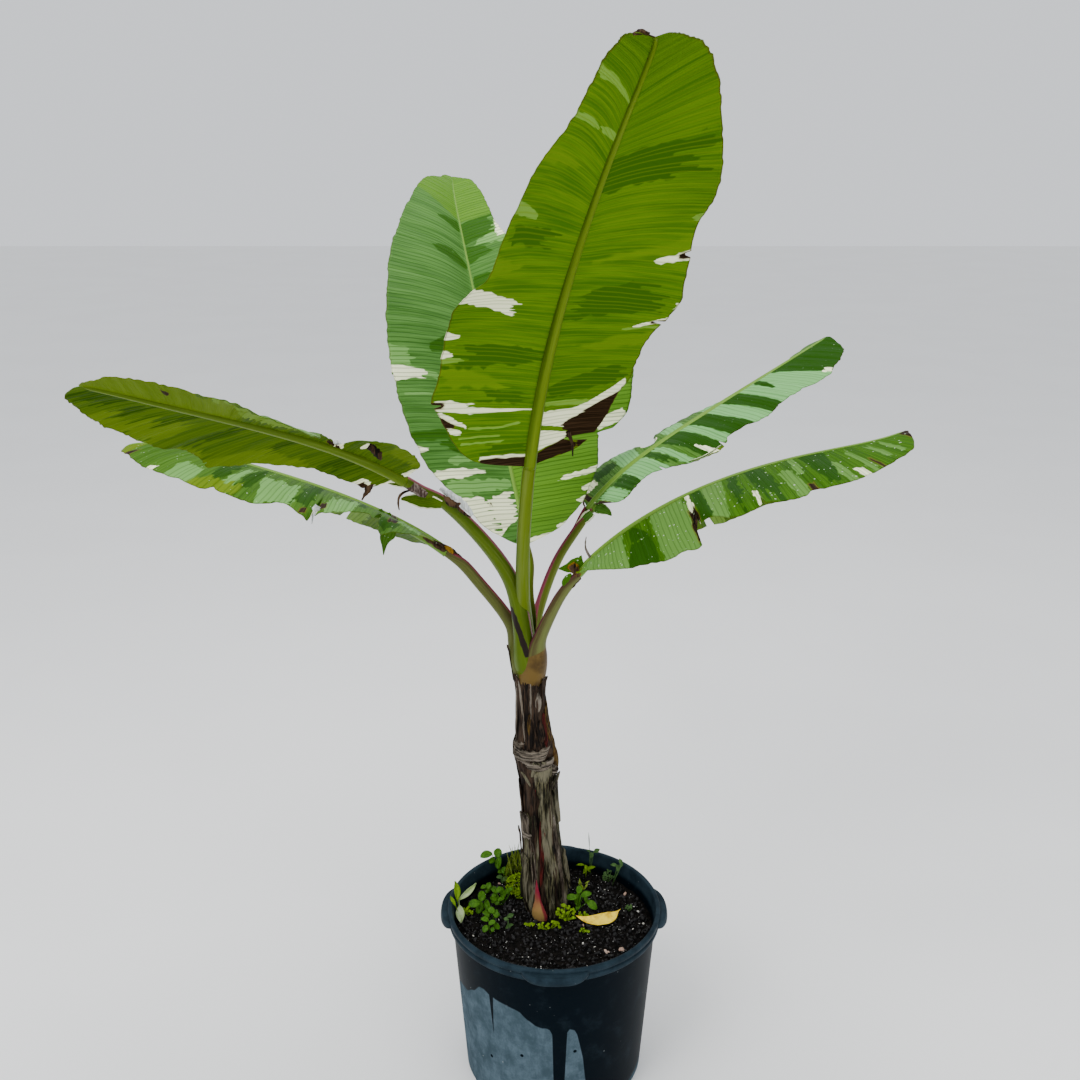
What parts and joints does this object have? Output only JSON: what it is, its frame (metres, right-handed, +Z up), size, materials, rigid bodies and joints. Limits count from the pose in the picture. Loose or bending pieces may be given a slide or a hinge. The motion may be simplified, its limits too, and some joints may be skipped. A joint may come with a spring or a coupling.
{
  "type": "potted banana plant",
  "caption": "Young variegated banana plant: a leaning false stem of dry sheaths, arching leaf stalks and broad torn leaf blades, growing in a round plastic nursery pot full of soil.",
  "frame": {"origin": "centre of the flat underside of the pot, on the surface that the pot stands on", "axes": "+Z up, -Y towards the side that the picture was taken from, +X to the right of that view"},
  "size_m": [1.1587, 1.1301, 1.6381],
  "materials": {
    "pot_plastic": "satin",
    "soil": "matte",
    "dry_sheath": "matte",
    "tan_sheath": "matte",
    "shoot": "satin",
    "stalk": "satin",
    "leaf_underside": "satin",
    "leaf_upper_side": "satin"
  },
  "bodies": {
    "root": {"pot": "pot_plastic", "soil": "soil", "false_stem": "dry_sheath", "sheath_tongue": "tan_sheath", "stalk_stub": "tan_sheath", "foot_shoot": "shoot", "stalk_front": "stalk", "stalk_back": "stalk", "stalk_left_upper": "stalk", "stalk_left_lower": "stalk", "stalk_right_upper": "stalk", "stalk_right_lower": "stalk", "leaf_front": "leaf_underside", "leaf_back": "leaf_upper_side", "leaf_left_upper": "leaf_underside", "leaf_left_lower": "leaf_upper_side", "leaf_right_upper": "leaf_upper_side", "leaf_right_lower": "leaf_upper_side"}
  },
  "joints": []
}
